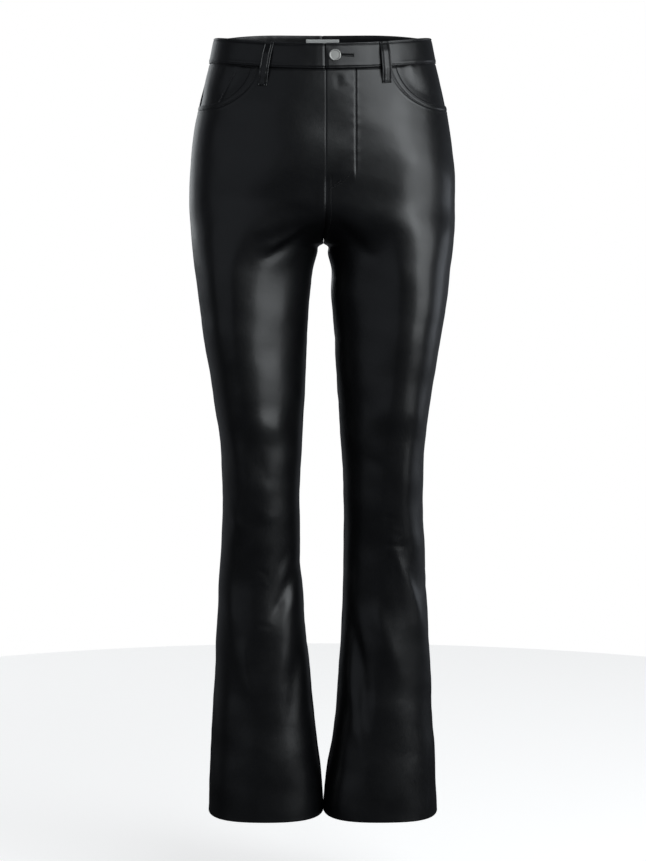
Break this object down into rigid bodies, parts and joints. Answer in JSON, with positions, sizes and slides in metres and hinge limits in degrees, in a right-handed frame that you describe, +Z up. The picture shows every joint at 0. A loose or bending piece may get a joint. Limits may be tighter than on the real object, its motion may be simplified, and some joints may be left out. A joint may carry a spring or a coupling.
{
  "type": "leather trousers",
  "caption": "High-waisted leather trousers with a fly and waist button, close at the knee and flared to an open hem, filled out as if worn.",
  "frame": {"origin": "middle of the waist opening, halfway up the waistband, where the trousers are held", "axes": "+Z up along the legs, -Y to the front, +X to the wearer's left"},
  "size_m": [0.365, 0.2307, 1.0817],
  "materials": {
    "leather": "black coated leather cloth with a smooth semi-gloss finish",
    "label_cloth": "pale grey woven tape, blank",
    "button_metal": "satin nickel-plated"
  },
  "bodies": {
    "root": {"front_panel_left": "leather", "front_panel_right": "leather", "back_panel_left": "leather", "back_panel_right": "leather", "pocket_facing_left": "leather", "pocket_facing_right": "leather", "coin_pocket": "leather", "waistband_left": "leather", "waistband_right": "leather", "belt_loop_front_right": "leather", "belt_loop_front_left": "leather", "belt_loop_back_right": "leather", "belt_loop_back_left": "leather", "belt_loop_centre_back": "leather", "label": "label_cloth", "button": "button_metal"}
  },
  "joints": []
}
